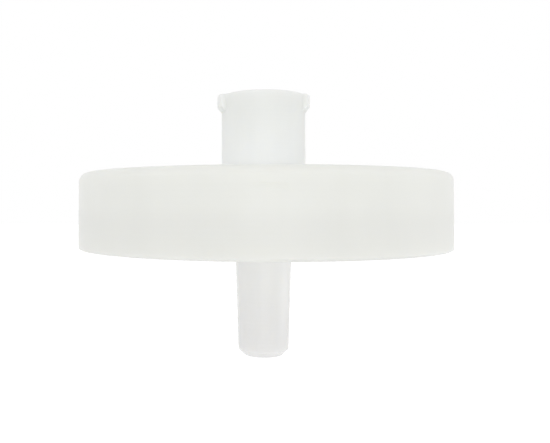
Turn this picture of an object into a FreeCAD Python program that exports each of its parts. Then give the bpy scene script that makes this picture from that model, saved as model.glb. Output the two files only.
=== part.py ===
"""Syringe filter for 25 mm membranes: two moulded housing halves, the membrane and the moulded ring.

Millimetres. The origin is the centre of the inlet's mouth, +Z points out of the inlet along the
flow axis, and the two luer-lock lugs lie on the X axis. Every level is counted down from the mouth.
"""
import FreeCAD, Part
import math
import os
import Sketcher

MATCH = 0.001  # how closely an edge must agree with the radius and height it is picked by

SIZES = {
    # overall
    "membrane_diameter": 25.0,
    "inlet_height": 6.23,        # mouth above the top of the ring
    "outlet_length": 8.47,       # tip below the underside of the ring
    # both halves, from the membrane outwards
    "membrane_thickness": 0.15,
    "membrane_clearance": 0.1,   # round its edge, on the radius
    "clamp_width": 1.3,          # how far in the membrane's edge is held
    "flange_rim": 0.7,           # where the halves meet, outside the membrane
    "face_step": 0.5,            # centre faces stand this far out of the flanges
    "luer_taper": 0.06,          # on the diameter
    # ring moulded round the rim of both halves
    "ring_wall": 1.0,
    "lip_overlap": 1.6,          # how far the lips reach in over the flanges
    "lip_thickness": 0.9,
    "ring_draft": 0.05,          # how far the wall leans in towards the top
    "ring_top_radius": 0.65,
    "ring_bottom_radius": 0.2,
    "lip_edge_radius": 0.15,
    # inlet half
    "inlet_flange": 1.92,
    "inlet_chamber_depth": 0.5,
    "socket_mouth": 4.3,
    "hub_wall": 1.15,            # at the mouth
    "hub_root_radius": 0.5,
    "socket_floor": 0.75,
    "socket_edge_radius": 0.2,
    "inlet_hole": 2.4,
    "mouth_edge_radius": 0.12,
    "lug_height": 0.35,          # out of the hub
    "lug_width": 2.9,
    "lug_face_height": 0.9,
    "lug_slope_height": 0.45,
    "lug_root_depth": 0.5,       # how far the lugs run into the hub's wall
    "lug_edge_radius": 0.1,
    "lug_root_radius": 0.2,      # beside the lugs, where they meet the hub
    "rib_start": 5.0,            # diameter at which the spreading ribs begin
    "rib_width": 0.6,
    "rib_count": 8,
    # outlet half
    "outlet_flange": 1.95,
    "tip_diameter": 3.95,
    "tip_chamfer": 0.45,
    "outlet_bore": 1.9,
    "outlet_root_radius": 0.4,
    "groove_start": 3.0,         # diameter at which the first ring groove begins
    "groove_width": 0.65,
    "groove_depth": 0.5,
    "groove_count": 7,
    "channel_width": 0.8,
    "channel_depth": 0.7,
    "channel_count": 8,
    # gate marks, where the melt was let in and cut off
    "gate_dimple_diameter": 1.7,
    "gate_dimple_depth": 0.15,
    "gate_stub_diameter": 0.7,
    "gate_stub_height": 0.1,     # above the dimple's floor
    "housing_gate_offset": 7.5,  # from the flow axis
    "ring_gate_drop": 1.22,      # below the top of the ring
    "ring_gate_width": 2.05,
    "ring_gate_mouth": 0.42,     # height at the wall, and at the floor of the scar
    "ring_gate_floor": 0.25,
    "ring_gate_depth": 0.005,    # in from the narrow top of the wall
    "ring_gate_turn": -1.3,      # degrees round the axis, from front and back
    "ring_gate_count": 2,
}

# Levels along the flow axis, from the inlet's mouth (0) down to the outlet's tip.
RING_TOP = "(-sheet.inlet_height)"
FLANGE_TOP = f"({RING_TOP} - sheet.lip_thickness)"
INLET_FACE = f"({FLANGE_TOP} + sheet.face_step)"
JOINT = f"({FLANGE_TOP} - sheet.inlet_flange)"
CHAMBER_ROOF = f"({JOINT} + sheet.inlet_chamber_depth)"
SOCKET_FLOOR = f"({CHAMBER_ROOF} + sheet.socket_floor)"
SEAT = f"({JOINT} - sheet.membrane_thickness)"
FLANGE_BOTTOM = f"({JOINT} - sheet.outlet_flange)"
OUTLET_FACE = f"({FLANGE_BOTTOM} - sheet.face_step)"
RING_BOTTOM = f"({FLANGE_BOTTOM} - sheet.lip_thickness)"
TIP = f"({RING_BOTTOM} - sheet.outlet_length)"

# Radii, from the membrane out to the ring, then those of the inlet and the outlet.
CHAMBER_RADIUS = "(sheet.membrane_diameter / 2 - sheet.clamp_width)"
SEAT_RADIUS = "(sheet.membrane_diameter / 2 + sheet.membrane_clearance)"
FLANGE_RADIUS = f"({SEAT_RADIUS} + sheet.flange_rim)"
LIP_RADIUS = f"({FLANGE_RADIUS} - sheet.lip_overlap)"
RING_RADIUS = f"({FLANGE_RADIUS} + sheet.ring_wall)"
MOUTH_RADIUS = "(sheet.socket_mouth / 2)"
HUB_RADIUS = f"({MOUTH_RADIUS} + sheet.hub_wall)"
LUG_RADIUS = f"({HUB_RADIUS} + sheet.lug_height)"
TIP_RADIUS = "(sheet.tip_diameter / 2)"

doc = FreeCAD.newDocument("syringe_filter")
sheet = doc.addObject("Spreadsheet::Sheet", "sheet")
for row, (alias, size) in enumerate(SIZES.items(), start=1):
    sheet.set(f"A{row}", alias)
    sheet.set(f"B{row}", str(size))
    sheet.setAlias(f"B{row}", alias)
doc.recompute()


def value(expression):
    """The number that an expression on the sheet comes to."""
    return float(sheet.evalExpression(expression))


def origin_plane(body, role):
    return next(plane for plane in body.Origin.OriginFeatures if plane.Role == role)


def new_sketch(body, name, role, level=None):
    """A sketch on one of the body's origin planes, raised along its normal to a level."""
    sketch = body.newObject("Sketcher::SketchObject", name)
    sketch.AttachmentSupport = (origin_plane(body, role), [""])
    sketch.MapMode = "FlatFace"
    if level:
        sketch.setExpression("AttachmentOffset.Base.z", level)
    return sketch


def bind(sketch, constraint, expression):
    number = sketch.addConstraint(constraint)
    sketch.setExpression(f"Constraints[{number}]", expression)


def outline(sketch, corners):
    """A closed outline of straight lines; a corner is a pair of expressions."""
    places = [FreeCAD.Vector(value(across), value(up), 0) for across, up in corners]
    count = len(corners)
    for index in range(count):
        sketch.addGeometry(Part.LineSegment(places[index], places[(index + 1) % count]))
    for index in range(count):
        following = (index + 1) % count
        sketch.addConstraint(Sketcher.Constraint("Coincident", index, 2, following, 1))
    for index, (across, up) in enumerate(corners):
        place = places[index]
        bind(sketch, Sketcher.Constraint("DistanceX", -1, 1, index, 1, place.x), across)
        bind(sketch, Sketcher.Constraint("DistanceY", -1, 1, index, 1, place.y), up)


def circle(sketch, radius, away=None):
    """A circle about the sketch's origin, or this far along the sketch's Y axis."""
    centre = FreeCAD.Vector(0, value(away) if away else 0, 0)
    number = sketch.addGeometry(Part.Circle(centre, FreeCAD.Vector(0, 0, 1), value(radius)))
    if away:
        sketch.addConstraint(Sketcher.Constraint("PointOnObject", number, 3, -2))
        bind(sketch, Sketcher.Constraint("DistanceY", -1, 1, number, 3, centre.y), away)
    else:
        sketch.addConstraint(Sketcher.Constraint("Coincident", number, 3, -1, 1))
    bind(sketch, Sketcher.Constraint("Radius", number, value(radius)), radius)


def revolution(body, name, corners):
    """The section, radius by height, turned once round the flow axis."""
    sketch = new_sketch(body, name + "_section", "XZ_Plane")
    outline(sketch, corners)
    feature = body.newObject("PartDesign::Revolution", name)
    feature.Profile = sketch
    feature.ReferenceAxis = (sketch, ["V_Axis"])
    feature.Angle = 360
    doc.recompute()
    return feature


def groove(body, name, role, corners, angle="360"):
    """The section, radius by height on the plane named, cut round the flow axis, half each way."""
    sketch = new_sketch(body, name + "_section", role)
    outline(sketch, corners)
    feature = body.newObject("PartDesign::Groove", name)
    feature.Profile = sketch
    feature.ReferenceAxis = (sketch, ["V_Axis"])
    feature.Midplane = True
    feature.setExpression("Angle", angle)
    doc.recompute()
    return feature


def rim_edges(feature, radius, level):
    """Names of the feature's round edges about the flow axis with this radius at this level."""
    names = []
    for number, edge in enumerate(feature.Shape.Edges, start=1):
        curve = edge.Curve
        if not isinstance(curve, Part.Circle):
            continue
        if abs(curve.Radius - radius) < MATCH and abs(curve.Center.z - level) < MATCH:
            names.append(f"Edge{number}")
    return names


def upright_edges(feature, radius):
    """Names of the feature's straight edges that stand upright at this radius."""
    names = []
    for number, edge in enumerate(feature.Shape.Edges, start=1):
        if not isinstance(edge.Curve, Part.Line):
            continue
        foot, head = (vertex.Point for vertex in edge.Vertexes)
        upright = math.hypot(foot.x - head.x, foot.y - head.y) < MATCH
        if upright and abs(math.hypot(foot.x, foot.y) - radius) < MATCH:
            names.append(f"Edge{number}")
    return names


def rounded(body, name, radius_name, edges_of, upright=None):
    """A fillet of the named radius on the rims, each a pair of expressions (radius, level)."""
    base = body.Tip
    names = upright_edges(base, value(upright)) if upright else []
    for radius, level in edges_of:
        names += rim_edges(base, value(radius), value(level))
    fillet = body.newObject("PartDesign::Fillet", name)
    fillet.Base = (base, names)
    fillet.setExpression("Radius", f"sheet.{radius_name}")
    doc.recompute()
    return fillet


def round_the_axis(body, name, features, count):
    """The features repeated evenly round the flow axis."""
    pattern = body.newObject("PartDesign::PolarPattern", name)
    pattern.Originals = features
    pattern.Axis = (origin_plane(body, "Z_Axis"), [""])
    pattern.Angle = 360
    pattern.setExpression("Occurrences", count)
    body.Tip = pattern
    doc.recompute()
    return pattern


def radial_bar(body, name, start, end, width, level):
    """A sketch of a bar along +X at a level, from one radius to another."""
    sketch = new_sketch(body, name, "XY_Plane", level)
    side = f"({width} / 2)"
    outline(sketch, [
        (start, f"(-{side})"),
        (end, f"(-{side})"),
        (end, side),
        (start, side),
    ])
    return sketch


def gate_mark(body, away, level, from_below=False):
    """A shallow dimple in a flat face, with the cut-off stub of the gate standing in it."""
    dimple = body.newObject("PartDesign::Pocket", "gate_dimple")
    dimple.Profile = new_sketch(body, "gate_dimple_outline", "XY_Plane", level)
    circle(dimple.Profile[0], "(sheet.gate_dimple_diameter / 2)", away)
    dimple.Reversed = from_below
    dimple.setExpression("Length", "sheet.gate_dimple_depth")
    doc.recompute()

    inwards = "+" if from_below else "-"
    floor = f"({level} {inwards} sheet.gate_dimple_depth)"
    stub = body.newObject("PartDesign::Pad", "gate_stub")
    stub.Profile = new_sketch(body, "gate_stub_outline", "XY_Plane", floor)
    circle(stub.Profile[0], "(sheet.gate_stub_diameter / 2)", away)
    stub.Reversed = from_below
    stub.setExpression("Length", "sheet.gate_stub_height")
    doc.recompute()
    return [dimple, stub]


def new_body(label):
    body = doc.addObject("PartDesign::Body", label)
    body.Label = label
    return body


def sealing_ring():
    """Ring moulded over the rim: a wall with a lip above and below the two flanges."""
    body = new_body("sealing_ring")
    top_radius = f"({RING_RADIUS} - sheet.ring_draft)"
    revolution(body, "ring", [
        (LIP_RADIUS, RING_TOP),
        (top_radius, RING_TOP),
        (RING_RADIUS, RING_BOTTOM),
        (LIP_RADIUS, RING_BOTTOM),
        (LIP_RADIUS, FLANGE_BOTTOM),
        (FLANGE_RADIUS, FLANGE_BOTTOM),
        (FLANGE_RADIUS, FLANGE_TOP),
        (LIP_RADIUS, FLANGE_TOP),
    ])
    rounded(body, "top_corner", "ring_top_radius", [(top_radius, RING_TOP)])
    rounded(body, "bottom_corner", "ring_bottom_radius", [(RING_RADIUS, RING_BOTTOM)])
    rounded(body, "lip_edges", "lip_edge_radius", [(LIP_RADIUS, RING_TOP), (LIP_RADIUS, RING_BOTTOM)])

    # The scars of the ring's two edge gates, one on the front of its wall and one on the back.
    level = f"({RING_TOP} - sheet.ring_gate_drop)"
    floor = f"({top_radius} - sheet.ring_gate_depth)"
    outside = f"({RING_RADIUS} + sheet.ring_gate_depth)"
    scar = groove(body, "gate_scar", "YZ_Plane", [
        (floor, f"({level} - sheet.ring_gate_floor / 2)"),
        (outside, f"({level} - sheet.ring_gate_mouth / 2)"),
        (outside, f"({level} + sheet.ring_gate_mouth / 2)"),
        (floor, f"({level} + sheet.ring_gate_floor / 2)"),
    ], angle=f"sheet.ring_gate_width / {RING_RADIUS} * 180 / pi")
    section = scar.Profile[0]
    section.AttachmentOffset.Rotation = FreeCAD.Rotation(FreeCAD.Vector(0, 1, 0), 90)
    section.setExpression("AttachmentOffset.Rotation.Angle", "sheet.ring_gate_turn")
    round_the_axis(body, "gate_scars", [scar], "sheet.ring_gate_count")
    return body


def inlet_housing():
    """Upper half: flange, chamber with spreading ribs, and the luer-lock socket with its two lugs."""
    body = new_body("inlet_housing")
    socket_end = f"({MOUTH_RADIUS} + sheet.luer_taper / 2 * {SOCKET_FLOOR})"
    hole = "(sheet.inlet_hole / 2)"
    revolution(body, "shell", [
        (MOUTH_RADIUS, "0"),
        (HUB_RADIUS, "0"),
        (HUB_RADIUS, INLET_FACE),
        (LIP_RADIUS, INLET_FACE),
        (LIP_RADIUS, FLANGE_TOP),
        (FLANGE_RADIUS, FLANGE_TOP),
        (FLANGE_RADIUS, JOINT),
        (CHAMBER_RADIUS, JOINT),
        (CHAMBER_RADIUS, CHAMBER_ROOF),
        (hole, CHAMBER_ROOF),
        (hole, SOCKET_FLOOR),
        (socket_end, SOCKET_FLOOR),
    ])
    rounded(body, "hub_root", "hub_root_radius", [(HUB_RADIUS, INLET_FACE)])
    rounded(body, "socket_edge", "socket_edge_radius", [(MOUTH_RADIUS, "0")])

    # The lugs are straight bars, turned down outside to a round face over a sloping foot. Their tops
    # are level with the mouth, and one rounded edge runs round the hub and both of them.
    lug_root = f"({HUB_RADIUS} - sheet.lug_root_depth)"
    lug_end = f"({LUG_RADIUS} + sheet.lug_height)"
    clear = f"({LUG_RADIUS} + sheet.lug_width / 2)"
    face_foot = "(-sheet.lug_face_height)"
    lug_foot = f"({face_foot} - sheet.lug_slope_height)"
    lug = body.newObject("PartDesign::Pad", "lug")
    lug.Profile = radial_bar(body, "lug_outline", lug_root, lug_end, "sheet.lug_width", lug_foot)
    lug.setExpression("Length", f"-{lug_foot}")
    doc.recompute()
    round_the_axis(body, "lugs", [lug], "2")
    groove(body, "lug_faces", "XZ_Plane", [
        (LUG_RADIUS, "0"),
        (clear, "0"),
        (clear, lug_foot),
        (HUB_RADIUS, lug_foot),
        (LUG_RADIUS, face_foot),
    ])
    rounded(body, "lug_roots", "lug_root_radius", [], upright=HUB_RADIUS)
    rounded(body, "lug_edges", "lug_edge_radius", [(LUG_RADIUS, face_foot)], upright=LUG_RADIUS)
    rounded(body, "mouth_edge", "mouth_edge_radius", [(HUB_RADIUS, "0")])

    rib_end = f"({CHAMBER_RADIUS} + sheet.rib_width)"
    rib = body.newObject("PartDesign::Pad", "rib")
    rib.Profile = radial_bar(body, "rib_outline", "(sheet.rib_start / 2)", rib_end, "sheet.rib_width", JOINT)
    rib.setExpression("Length", "sheet.inlet_chamber_depth")
    doc.recompute()
    round_the_axis(body, "ribs", [rib], "sheet.rib_count")
    gate_mark(body, "sheet.housing_gate_offset", INLET_FACE)
    return body


def outlet_housing():
    """Lower half: flange with the membrane's seat, drain grooves and channels, and the luer cone."""
    body = new_body("outlet_housing")
    bore = "(sheet.outlet_bore / 2)"
    cone_base = f"({TIP_RADIUS} + sheet.luer_taper / 2 * ({OUTLET_FACE} - {TIP}))"
    revolution(body, "shell", [
        (bore, SEAT),
        (SEAT_RADIUS, SEAT),
        (SEAT_RADIUS, JOINT),
        (FLANGE_RADIUS, JOINT),
        (FLANGE_RADIUS, FLANGE_BOTTOM),
        (LIP_RADIUS, FLANGE_BOTTOM),
        (LIP_RADIUS, OUTLET_FACE),
        (cone_base, OUTLET_FACE),
        (TIP_RADIUS, TIP),
        (bore, TIP),
    ])
    rounded(body, "cone_root", "outlet_root_radius", [(cone_base, OUTLET_FACE)])
    tip_base = body.Tip
    tip = body.newObject("PartDesign::Chamfer", "tip_chamfer")
    tip.Base = (tip_base, rim_edges(tip_base, value(TIP_RADIUS), value(TIP)))
    tip.setExpression("Size", "sheet.tip_chamfer")
    doc.recompute()

    first = "(sheet.groove_start / 2)"
    pitch = f"(({CHAMBER_RADIUS} - {first} - sheet.groove_width) / (sheet.groove_count - 1))"
    rings = new_sketch(body, "groove_rings", "XY_Plane", SEAT)
    for index in range(int(value("sheet.groove_count"))):
        inner = f"({first} + {index} * {pitch})"
        circle(rings, inner)
        circle(rings, f"({inner} + sheet.groove_width)")
    grooves = body.newObject("PartDesign::Pocket", "grooves")
    grooves.Profile = rings
    grooves.setExpression("Length", "sheet.groove_depth")
    doc.recompute()

    channel = body.newObject("PartDesign::Pocket", "channel")
    start = f"({bore} / 2)"
    end = f"({CHAMBER_RADIUS} - sheet.groove_width / 2)"
    channel.Profile = radial_bar(body, "channel_outline", start, end, "sheet.channel_width", SEAT)
    channel.setExpression("Length", "sheet.channel_depth")
    doc.recompute()
    round_the_axis(body, "channels", [channel], "sheet.channel_count")
    gate_mark(body, "sheet.housing_gate_offset", OUTLET_FACE, from_below=True)
    return body


def membrane():
    """Thin microporous disc, held at its edge between the two halves."""
    body = new_body("membrane")
    disc = new_sketch(body, "disc_outline", "XY_Plane", SEAT)
    circle(disc, "(sheet.membrane_diameter / 2)")
    pad = body.newObject("PartDesign::Pad", "disc")
    pad.Profile = disc
    pad.setExpression("Length", "sheet.membrane_thickness")
    doc.recompute()
    return body


bodies = [sealing_ring(), inlet_housing(), outlet_housing(), membrane()]
doc.recompute()

for item in doc.Objects:
    if "Invalid" in item.State or "Error" in item.State:
        raise RuntimeError(f"{item.Name} failed: {item.State}")
for body in bodies:
    if body.Shape.isNull() or not body.Shape.isValid() or len(body.Shape.Solids) != 1:
        raise RuntimeError(f"{body.Label} is not one valid solid")

os.makedirs("parts", exist_ok=True)
for body in bodies:
    body.Shape.exportStep(f"parts/{body.Label}.step")
    box = body.Shape.BoundBox
    print(f"{body.Label}: {body.Shape.Volume:.2f} mm3, z {box.ZMin:.2f} to {box.ZMax:.2f}")
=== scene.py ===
import math
import bpy
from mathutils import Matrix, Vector


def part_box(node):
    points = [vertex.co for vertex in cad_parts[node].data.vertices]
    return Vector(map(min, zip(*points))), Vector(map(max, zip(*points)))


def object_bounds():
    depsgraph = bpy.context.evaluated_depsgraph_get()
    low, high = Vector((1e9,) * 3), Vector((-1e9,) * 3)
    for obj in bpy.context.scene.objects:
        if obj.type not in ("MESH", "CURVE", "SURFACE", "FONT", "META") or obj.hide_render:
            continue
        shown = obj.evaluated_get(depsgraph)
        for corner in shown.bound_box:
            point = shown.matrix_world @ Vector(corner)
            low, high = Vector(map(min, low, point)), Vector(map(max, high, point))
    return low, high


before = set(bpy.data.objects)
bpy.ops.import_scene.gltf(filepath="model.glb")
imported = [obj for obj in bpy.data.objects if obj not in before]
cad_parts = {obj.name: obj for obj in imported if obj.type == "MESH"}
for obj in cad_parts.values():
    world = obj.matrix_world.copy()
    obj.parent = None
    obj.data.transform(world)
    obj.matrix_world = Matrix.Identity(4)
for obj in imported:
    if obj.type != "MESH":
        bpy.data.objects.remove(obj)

cad_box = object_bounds()

# A 25 mm syringe filter. It hangs by its inlet, with the flow axis upright and the middle of the
# socket's mouth at the origin. Two moulded halves clamp a membrane, and a ring seals their rims.


# ---- Inlet half ---------------------------------------------------------------------------------
# A disc with the female luer socket and its two lugs, injection-moulded in natural polypropylene.
# The plastic is milky: light goes about two millimetres into its thin walls, and its skin is satin.
# The mould was turned on a lathe, which leaves hair-fine rings about the flow axis.

MM = 0.001
NOISE_SPAN = (0.3, 0.7)  # nearly all of a Noise node's values lie between these
RUBBED_SPAN = (0.35, 0.7)  # from the values of noise that stay polished to those fully rubbed


def wire(tree, node, inputs):
    """Gives inputs of a node, by name or number, a plain value or another node's output."""
    for name, value in inputs.items():
        if isinstance(value, bpy.types.NodeSocket):
            tree.links.new(value, node.inputs[name])
        else:
            node.inputs[name].default_value = value


def add_node(tree, kind, inputs, **settings):
    node = tree.nodes.new(kind)
    for name, value in settings.items():
        setattr(node, name, value)
    wire(tree, node, inputs)
    return node.outputs


def arithmetic(tree, operation, *values):
    """A Math node; each value is another node's output or a plain number."""
    return add_node(tree, "ShaderNodeMath", dict(enumerate(values)), operation=operation)[0]


def remap(tree, value, span, onto, shape="LINEAR"):
    """Stretches a value from one span onto another and holds it at both ends."""
    return add_node(tree, "ShaderNodeMapRange", {
        "Value": value,
        "From Min": span[0],
        "From Max": span[1],
        "To Min": onto[0],
        "To Max": onto[1],
    }, interpolation_type=shape)["Result"]


def mix_colours(tree, share, first, second):
    """The first colour where the share is 0, the second where it is 1."""
    inputs = {"Factor": share, "A": first, "B": second}
    return add_node(tree, "ShaderNodeMix", inputs, data_type="RGBA")["Result"]


def point_parts(tree):
    """A point's X, Y and Z, measured from the middle of the socket's mouth."""
    place = add_node(tree, "ShaderNodeTexCoord", {})["Object"]
    return add_node(tree, "ShaderNodeSeparateXYZ", {"Vector": place})


def off_axis(tree, point):
    """How far a point is from the flow axis."""
    x_squared = arithmetic(tree, "MULTIPLY", point["X"], point["X"])
    squared = arithmetic(tree, "MULTIPLY_ADD", point["Y"], point["Y"], x_squared)
    return arithmetic(tree, "SQRT", squared)


def noise_pattern(tree, scale, detail, seed):
    """Noise all through the piece, scale patches to the metre. A seed picks a part of the pattern."""
    place = add_node(tree, "ShaderNodeTexCoord", {})["Object"]
    shift = (seed, seed * 0.7, seed * 1.3)
    moved = add_node(tree, "ShaderNodeVectorMath", {0: place, 1: shift}, operation="ADD")[0]
    inputs = {"Vector": moved, "Scale": scale, "Detail": detail}
    return add_node(tree, "ShaderNodeTexNoise", inputs)["Fac"]


def bump(tree, height):
    """A normal for a height that is in metres."""
    return add_node(tree, "ShaderNodeBump", {"Height": height, "Distance": 1.0})["Normal"]


def start_group(name, sockets):
    """A node group with its sockets: a name, a side and a kind for each."""
    group = bpy.data.node_groups.new(name, "ShaderNodeTree")
    for socket, (side, kind) in sockets.items():
        group.interface.new_socket(socket, in_out=side, socket_type="NodeSocket" + kind)
    return group


# Milkiness and painted light: each piece is lighter towards one level of it than the other, which on
# the inlet and outlet is painted light and shade. The plastic is also a little cloudy all over, and
# streaked along the melt's way out from the gate, because it cooled unevenly.
milk = start_group("milkiness_and_painted_light", {
    "Darker Colour": ("INPUT", "Color"),
    "Lighter Colour": ("INPUT", "Color"),
    "Darker Level": ("INPUT", "Float"),
    "Lighter Level": ("INPUT", "Float"),
    "Cloudiness": ("INPUT", "Float"),
    "Streaks": ("INPUT", "Float"),
    "Gate Offset": ("INPUT", "Float"),
    "Colour": ("OUTPUT", "Color"),
})
milk_in = milk.nodes.new("NodeGroupInput").outputs
milk_point = point_parts(milk)
lightening_levels = (milk_in["Darker Level"], milk_in["Lighter Level"])
# Painted light on the inlet and outlet: lighter from the darker level towards the lighter one.
lighter_share = remap(milk, milk_point["Z"], lightening_levels, (0, 1), "SMOOTHSTEP")
even_colour = mix_colours(milk, lighter_share, milk_in["Darker Colour"], milk_in["Lighter Colour"])

cloud_noise = noise_pattern(milk, scale=240, detail=3, seed=0.3)
clouds = remap(milk, cloud_noise, NOISE_SPAN, (-1, 1))
cloudy = arithmetic(milk, "MULTIPLY_ADD", clouds, milk_in["Cloudiness"], 1)

from_gate = arithmetic(milk, "SUBTRACT", milk_point["Y"], milk_in["Gate Offset"])
melt_way = add_node(milk, "ShaderNodeCombineXYZ", {"X": milk_point["X"], "Y": from_gate})[0]
melt_bearing = add_node(milk, "ShaderNodeVectorMath", {0: melt_way}, operation="NORMALIZE")[0]
streak_inputs = {"Vector": melt_bearing, "Scale": 7, "Detail": 2}
streak_noise = add_node(milk, "ShaderNodeTexNoise", streak_inputs)["Fac"]
streaks = remap(milk, streak_noise, NOISE_SPAN, (-1, 1))
uneven = arithmetic(milk, "MULTIPLY_ADD", streaks, milk_in["Streaks"], cloudy)

shade_inputs = {0: even_colour, "Scale": uneven}
milky_and_painted_colour = add_node(milk, "ShaderNodeVectorMath", shade_inputs, operation="SCALE")[0]
wire(milk, milk.nodes.new("NodeGroupOutput"), {"Colour": milky_and_painted_colour})

# Moulded skin: the mould's polish, rubbed here and there by handling, and shallow sinks in it. The
# mould's turning marks run round the flow axis: on a face they step outwards, on a wall they step up.
skin = start_group("moulded_skin", {
    "Polished": ("INPUT", "Float"),
    "Rubbed": ("INPUT", "Float"),
    "Sink Depth": ("INPUT", "Float"),
    "Mark Pitch": ("INPUT", "Float"),
    "Mark Depth": ("INPUT", "Float"),
    "Roughness": ("OUTPUT", "Float"),
    "Normal": ("OUTPUT", "Vector"),
})
skin_in = skin.nodes.new("NodeGroupInput").outputs
rub_noise = noise_pattern(skin, scale=500, detail=4, seed=1.1)
rub_inputs = {
    "Factor": remap(skin, rub_noise, RUBBED_SPAN, (0, 1)),
    "A": skin_in["Polished"],
    "B": skin_in["Rubbed"],
}
skin_roughness = add_node(skin, "ShaderNodeMix", rub_inputs)["Result"]

sink_noise = noise_pattern(skin, scale=350, detail=2, seed=2.3)
sinks = arithmetic(skin, "MULTIPLY", sink_noise, skin_in["Sink Depth"])
skin_point = point_parts(skin)
tool_path = arithmetic(skin, "ADD", off_axis(skin, skin_point), skin_point["Z"])
turns = arithmetic(skin, "DIVIDE", tool_path, skin_in["Mark Pitch"])
mark_wave = arithmetic(skin, "SINE", arithmetic(skin, "MULTIPLY", turns, 2 * math.pi))
skin_height = arithmetic(skin, "MULTIPLY_ADD", mark_wave, skin_in["Mark Depth"], sinks)
wire(skin, skin.nodes.new("NodeGroupOutput"), {
    "Roughness": skin_roughness,
    "Normal": bump(skin, skin_height),
})


def milky_plastic(name, darker_colour, darker_level, lighter_colour, lighter_level,
                  polished, rubbed, shine, seep, depth):
    """Milky moulded polypropylene. Its colour goes from the darker colour at one level to the lighter
    one at the other, which is painted light on the inlet and outlet. The levels are heights on the
    flow axis, with the socket's mouth at 0; seep is how much light goes in, and depth how far."""
    material = bpy.data.materials.new(name)
    material.use_nodes = True
    tree = material.node_tree
    colour = add_node(tree, "ShaderNodeGroup", node_tree=milk, inputs={
        "Darker Colour": (*darker_colour, 1),
        "Darker Level": darker_level,
        "Lighter Colour": (*lighter_colour, 1),
        "Lighter Level": lighter_level,
        "Cloudiness": 0.008,
        "Streaks": 0.008,
        "Gate Offset": 7.5 * MM,
    })
    surface = add_node(tree, "ShaderNodeGroup", node_tree=skin, inputs={
        "Polished": polished,
        "Rubbed": rubbed,
        "Sink Depth": 0.01 * MM,
        "Mark Pitch": 0.35 * MM,
        "Mark Depth": 0.0006 * MM,
    })
    wire(tree, tree.nodes["Principled BSDF"], {
        "Base Color": colour["Colour"],
        "Roughness": surface["Roughness"],
        "Normal": surface["Normal"],
        "IOR": 1.49,
        "Specular IOR Level": shine,
        "Subsurface Weight": seep,
        "Subsurface Radius": (1.0, 0.97, 0.9),
        "Subsurface Scale": depth,
    })
    return material


def finish_node(node, material):
    """Gives a CAD node its material, in every slot."""
    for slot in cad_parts[node].material_slots:
        slot.material = material


inlet_plastic = milky_plastic(
    "inlet_plastic",
    # Darker towards the socket's mouth and lighter down to the disc: painted light that stands for
    # light thrown up off the disc and ring and lifts the shade at the socket's root.
    darker_colour=(0.72, 0.732, 0.715), darker_level=3 * MM,
    lighter_colour=(0.953, 0.967, 0.945), lighter_level=-9 * MM,
    polished=0.4, rubbed=0.5, shine=0.5,
    seep=1.0, depth=2.0 * MM)
finish_node("inlet_housing", inlet_plastic)


# ---- Outlet half --------------------------------------------------------------------------------
# The other disc, with the male luer cone, moulded in the same plastic, a shade less cool. Its
# cavity is well polished, so the cone slips into a fitting easily and draws a band of light.

outlet_plastic = milky_plastic(
    "outlet_plastic",
    # Lighter towards the cone's root: painted light that lifts the shade the ring casts there.
    darker_colour=(0.77, 0.767, 0.762), darker_level=-20.4 * MM,
    lighter_colour=(0.887, 0.887, 0.865), lighter_level=-12 * MM,
    polished=0.18, rubbed=0.26, shine=0.4,
    seep=1.0, depth=1.5 * MM)
finish_node("outlet_housing", outlet_plastic)


# ---- Sealing ring -------------------------------------------------------------------------------
# A ring of C-shaped section, in the same family of plastic, moulded round the rims of both halves
# to seal them. It is thicker than they are, so it looks a little denser and warmer. Its skin is
# satin, as the inlet's.

ring_plastic = milky_plastic(
    "ring_plastic",
    # Darker below the middle of its height than above it.
    darker_colour=(0.78, 0.785, 0.753), darker_level=-9.9 * MM,
    lighter_colour=(0.806, 0.813, 0.777), lighter_level=-8.4 * MM,
    polished=0.34, rubbed=0.44, shine=0.5,
    seep=0.7, depth=0.9 * MM)
finish_node("sealing_ring", ring_plastic)


# ---- Membrane -----------------------------------------------------------------------------------
# A matt white microporous disc, cast as a thin film and clamped between the halves, which squeeze
# its rim to a duller white. Its pores are only just visible. It is seen through the two bores.

FILM_WHITE = (0.87, 0.87, 0.845, 1)
FILM_DULL = (0.77, 0.77, 0.74, 1)
FILM_ROUGHNESS = (0.8, 0.95)
HELD_WIDTH = 1.3 * MM
HELD_FADE = 0.2 * MM
HELD_DULLNESS = 0.6
MOTTLE_DULLNESS = 0.4
PORE_DEPTH = 0.006 * MM

film = bpy.data.materials.new("microporous_film")
film.use_nodes = True
film_tree = film.node_tree
film_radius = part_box("membrane")[1].x
held_span = (film_radius - HELD_WIDTH, film_radius - HELD_WIDTH + HELD_FADE)
film_reach = off_axis(film_tree, point_parts(film_tree))
held = remap(film_tree, film_reach, held_span, (0, HELD_DULLNESS))
mottle_noise = noise_pattern(film_tree, scale=1500, detail=4, seed=5.1)
mottle = remap(film_tree, mottle_noise, NOISE_SPAN, (0, MOTTLE_DULLNESS))
dullness = arithmetic(film_tree, "ADD", mottle, held)
pore_noise = noise_pattern(film_tree, scale=14000, detail=2, seed=6.4)
pores = arithmetic(film_tree, "MULTIPLY", pore_noise, PORE_DEPTH)
wire(film_tree, film_tree.nodes["Principled BSDF"], {
    "Base Color": mix_colours(film_tree, dullness, FILM_WHITE, FILM_DULL),
    "Roughness": remap(film_tree, mottle_noise, NOISE_SPAN, FILM_ROUGHNESS),
    "Normal": bump(film_tree, pores),
})
finish_node("membrane", film)


# ---- Floor and room -----------------------------------------------------------------------------
# A pale floor well below the filter, which is held up by its inlet as on a syringe, and a white
# room round it, a touch darker overhead. The floor keeps the filter's shadow.

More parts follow.
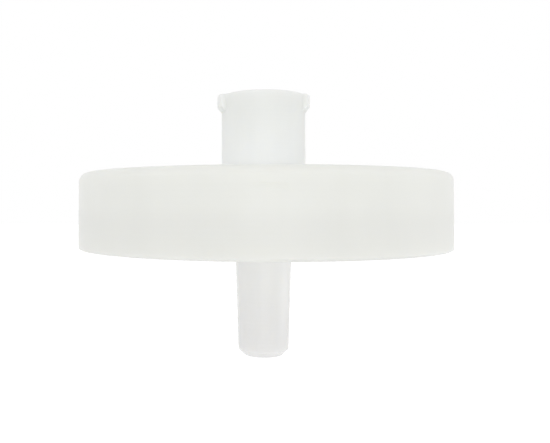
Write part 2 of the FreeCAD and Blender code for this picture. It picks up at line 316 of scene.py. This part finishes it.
FLOOR_DROP = 80 * MM
FLOOR_SIZE = 6.0
FLOOR_COLOUR = (0.93, 0.93, 0.93, 1)
FLOOR_GLOW = 0.35  # added to what is seen of the floor, so that it looks as white as the room
PLAIN_WHITE = (1, 1, 1, 1)
WALL_LIGHT = 0.855
CEILING_LIGHT = 0.81
CEILING_EDGE = (0.5, 0.7)  # where the walls turn into the ceiling, with 0 level and 1 overhead
SEEN_LIGHT = 1  # the room as it is seen, whiter than the level at which it lights the filter


def seen_rays(tree):
    """1 on a ray that comes from the camera, off a gloss or through a clear wall, and otherwise 0."""
    rays = add_node(tree, "ShaderNodeLightPath", {})
    mirrored = arithmetic(tree, "MAXIMUM", rays["Is Glossy Ray"], rays["Is Transmission Ray"])
    return arithmetic(tree, "MAXIMUM", rays["Is Camera Ray"], mirrored)


bpy.ops.object.select_all(action="DESELECT")
bpy.ops.mesh.primitive_plane_add(size=FLOOR_SIZE, location=(0, 0, cad_box[0].z - FLOOR_DROP))
floor = bpy.context.object
floor.name = "floor"
floor_material = bpy.data.materials.new("pale_floor")
floor_material.use_nodes = True
floor_tree = floor_material.node_tree
wire(floor_tree, floor_tree.nodes["Principled BSDF"], {
    "Base Color": FLOOR_COLOUR,
    "Roughness": 0.9,
    "Emission Color": PLAIN_WHITE,
    "Emission Strength": remap(floor_tree, seen_rays(floor_tree), (0, 1), (0, FLOOR_GLOW)),
})
floor.data.materials.append(floor_material)

world = bpy.data.worlds.new("white_room")
bpy.context.scene.world = world
world.use_nodes = True
world_tree = world.node_tree
room_way = add_node(world_tree, "ShaderNodeTexCoord", {})["Generated"]
room_height = add_node(world_tree, "ShaderNodeSeparateXYZ", {"Vector": room_way})["Z"]
room_light = remap(world_tree, room_height, CEILING_EDGE, (WALL_LIGHT, CEILING_LIGHT))
wire(world_tree, world_tree.nodes["Background"], {
    "Color": PLAIN_WHITE,
    "Strength": remap(world_tree, seen_rays(world_tree), (0, 1), (room_light, SEEN_LIGHT)),
})


# ---- Lights -------------------------------------------------------------------------------------
# Soft boxes aimed at the middle of the filter: three in front, low, level and high, two down the
# left side, and a small one low on the right that draws the band of light down the outlet.

LIT_POINT = Vector((0, 0, -9 * MM))


def soft_box(name, place, width, height, power):
    """A rectangular lamp, in metres and watts, aimed at the filter and not seen itself."""
    lamp = bpy.data.lights.new(name, "AREA")
    lamp.shape = "RECTANGLE"
    lamp.size = width
    lamp.size_y = height
    lamp.energy = power
    holder = bpy.data.objects.new(name, lamp)
    bpy.context.collection.objects.link(holder)
    holder.location = place
    aim = LIT_POINT - Vector(place)
    holder.rotation_euler = aim.to_track_quat("-Z", "Y").to_euler()
    holder.visible_camera = False


soft_box("front_box", place=(0.052, -0.596, -0.051), width=0.44, height=0.1, power=0.28)
soft_box("wide_box", place=(0.010, -0.597, 0.054), width=0.9, height=0.24, power=0.19)
soft_box("high_box", place=(0.000, -0.520, 0.291), width=0.6, height=0.24, power=0.25)
soft_box("left_box", place=(-0.558, -0.203, 0.075), width=0.6, height=0.24, power=0.05)
soft_box("back_left_box", place=(-0.538, 0.251, 0.075), width=0.6, height=0.24, power=0.049)
soft_box("low_right_box", place=(0.098, 0.003, -0.034), width=0.075, height=0.012, power=0.0044)


# ---- Camera -------------------------------------------------------------------------------------
# A lens close to the ring and nearly level with its middle, a little to the left of the flow axis.
# Its shift only frames the filter.

EYE = (-2.74 * MM, -50.87 * MM, -8.636 * MM)
LENS = 41.97
SENSOR_WIDTH = 36
LENS_SHIFT = (0.0838, -0.0293)

camera_data = bpy.data.cameras.new("camera")
camera_data.sensor_width = SENSOR_WIDTH
camera_data.lens = LENS
camera_data.shift_x = LENS_SHIFT[0]
camera_data.shift_y = LENS_SHIFT[1]
camera_data.clip_start = 1 * MM
camera_data.clip_end = 10
camera = bpy.data.objects.new("camera", camera_data)
bpy.context.collection.objects.link(camera)
camera.location = EYE
camera.rotation_euler = (math.pi / 2, 0, 0)
bpy.context.scene.camera = camera
bpy.context.scene.view_settings.view_transform = "Standard"
